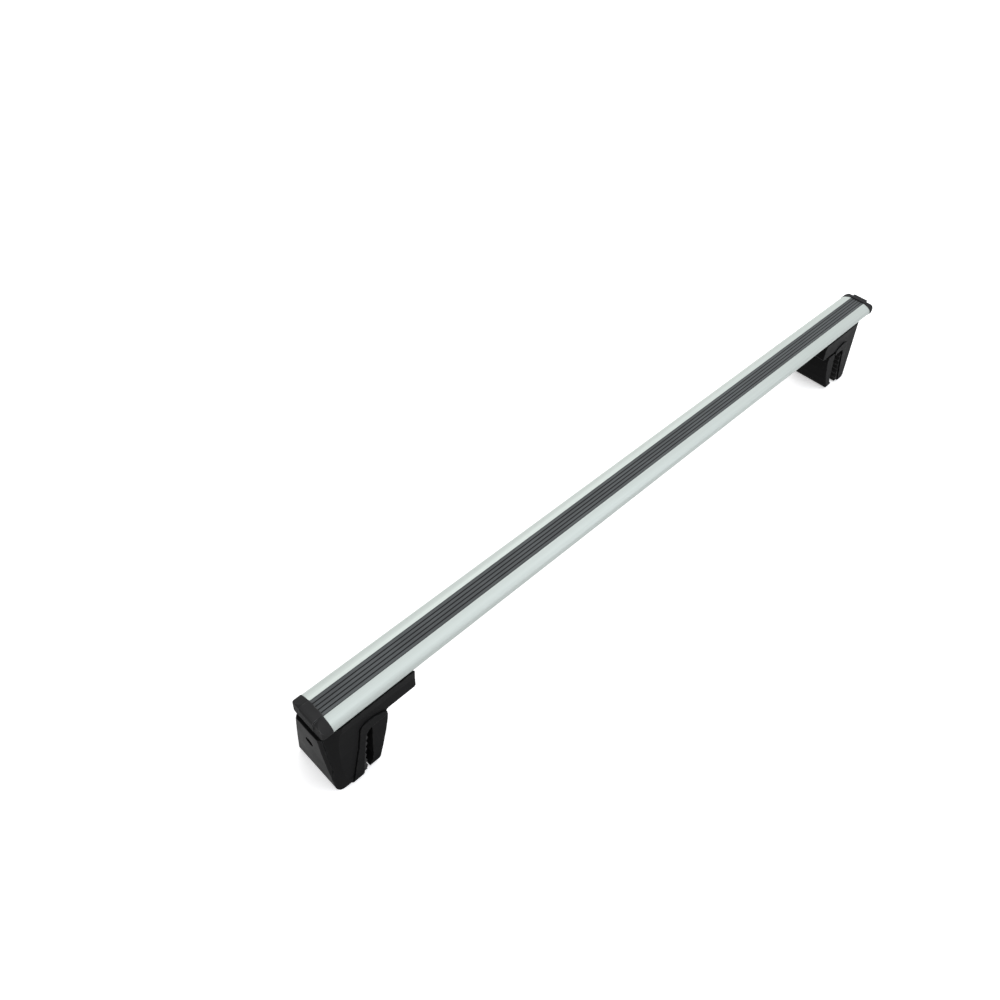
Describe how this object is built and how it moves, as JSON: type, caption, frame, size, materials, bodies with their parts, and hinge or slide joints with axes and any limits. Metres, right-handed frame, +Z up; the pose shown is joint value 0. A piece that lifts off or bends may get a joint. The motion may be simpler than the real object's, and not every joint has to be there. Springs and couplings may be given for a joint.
{
  "type": "roof rack crossbar",
  "caption": "Aluminium wing-shaped roof bar with a ribbed rubber strip, capped ends and sliding lockable feet that clamp onto raised side rails.",
  "frame": {"origin": "centre of the object's box, on the ground plane under the feet", "axes": "+X along the bar towards the right foot, +Y across the bar, +Z up"},
  "size_m": [1.2304, 0.0864, 0.1326],
  "materials": {
    "anodised": "satin anodised",
    "strip_rubber": "matte, ribbed",
    "cap_plastic": "satin moulded",
    "foot_plastic": "fine grained, moulded",
    "cover_plastic": "fine grained, moulded",
    "claw_plastic": "fine grained, moulded",
    "pad_rubber": "matte",
    "zinc_steel": "zinc plated",
    "bolt_steel": "zinc plated",
    "lock_face": "satin",
    "lock_metal": "dark satin"
  },
  "bodies": {
    "bar": {"bar": "anodised", "strip": "strip_rubber", "cap_left": "cap_plastic", "cap_right": "cap_plastic"},
    "foot_left": {"foot_left": "foot_plastic", "saddle_pad_left": "pad_rubber", "rail_pad_left": "pad_rubber", "channel_nut_left": "zinc_steel", "channel_screws_left": "zinc_steel", "hinge_pin_left": "zinc_steel", "bolt_washer_left": "zinc_steel"},
    "cover_left": {"cover_left": "cover_plastic", "lock_barrel_left": "lock_face"},
    "plug_left": {"lock_plug_left": "lock_metal", "lock_cam_left": "zinc_steel", "cam_screw_left": "zinc_steel"},
    "bolt_left": {"clamp_bolt_left": "bolt_steel", "bolt_clip_left": "zinc_steel"},
    "claw_left": {"claw_left": "claw_plastic", "claw_nut_left": "zinc_steel", "claw_pad_left": "pad_rubber"},
    "foot_right": {"foot_right": "foot_plastic", "saddle_pad_right": "pad_rubber", "rail_pad_right": "pad_rubber", "channel_nut_right": "zinc_steel", "channel_screws_right": "zinc_steel", "hinge_pin_right": "zinc_steel", "bolt_washer_right": "zinc_steel"},
    "cover_right": {"cover_right": "cover_plastic", "lock_barrel_right": "lock_face"},
    "plug_right": {"lock_plug_right": "lock_metal", "lock_cam_right": "zinc_steel", "cam_screw_right": "zinc_steel"},
    "bolt_right": {"clamp_bolt_right": "bolt_steel", "bolt_clip_right": "zinc_steel"},
    "claw_right": {"claw_right": "claw_plastic", "claw_nut_right": "zinc_steel", "claw_pad_right": "pad_rubber"}
  },
  "joints": [
    {"name": "foot_slide_left", "type": "slide", "parent": "bar", "child": "foot_left", "axis": [1, 0, 0], "range_m": [0, 0.25]},
    {"name": "cover_hinge_left", "type": "hinge", "parent": "foot_left", "child": "cover_left", "pos_m": [-0.60225, 0, 0.014], "axis": [0, -1, 0], "range_deg": [0, 85]},
    {"name": "lock_turn_left", "type": "hinge", "parent": "cover_left", "child": "plug_left", "pos_m": [-0.61125, 0, 0.0755], "axis": [1, 0, 0], "range_deg": [0, 90]},
    {"name": "bolt_turn_left", "type": "hinge", "parent": "foot_left", "child": "bolt_left", "pos_m": [-0.57925, 0, 0.089], "axis": [-1, 0, 0], "range_deg": [-0.5, 9216.5]},
    {"name": "claw_slide_left", "type": "slide", "parent": "foot_left", "child": "claw_left", "axis": [1, 0, 0], "range_m": [0, 0.032]},
    {"name": "foot_slide_right", "type": "slide", "parent": "bar", "child": "foot_right", "axis": [-1, 0, 0], "range_m": [-0.032, 0.2]},
    {"name": "cover_hinge_right", "type": "hinge", "parent": "foot_right", "child": "cover_right", "pos_m": [0.57175, 0, 0.014], "axis": [0, 1, 0], "range_deg": [0, 85]},
    {"name": "lock_turn_right", "type": "hinge", "parent": "cover_right", "child": "plug_right", "pos_m": [0.58075, 0, 0.0755], "axis": [-1, 0, 0], "range_deg": [0, 90]},
    {"name": "bolt_turn_right", "type": "hinge", "parent": "foot_right", "child": "bolt_right", "pos_m": [0.54875, 0, 0.089], "axis": [1, 0, 0], "range_deg": [-3456.5, 5760.5]},
    {"name": "claw_slide_right", "type": "slide", "parent": "foot_right", "child": "claw_right", "axis": [-1, 0, 0], "range_m": [-0.012, 0.02]}
  ],
  "couplings": [
    {"joint": "bolt_turn_left", "follows": "claw_slide_left", "rad_per_m": 5026.5},
    {"joint": "bolt_turn_right", "follows": "claw_slide_right", "rad_per_m": 5026.5}
  ]
}
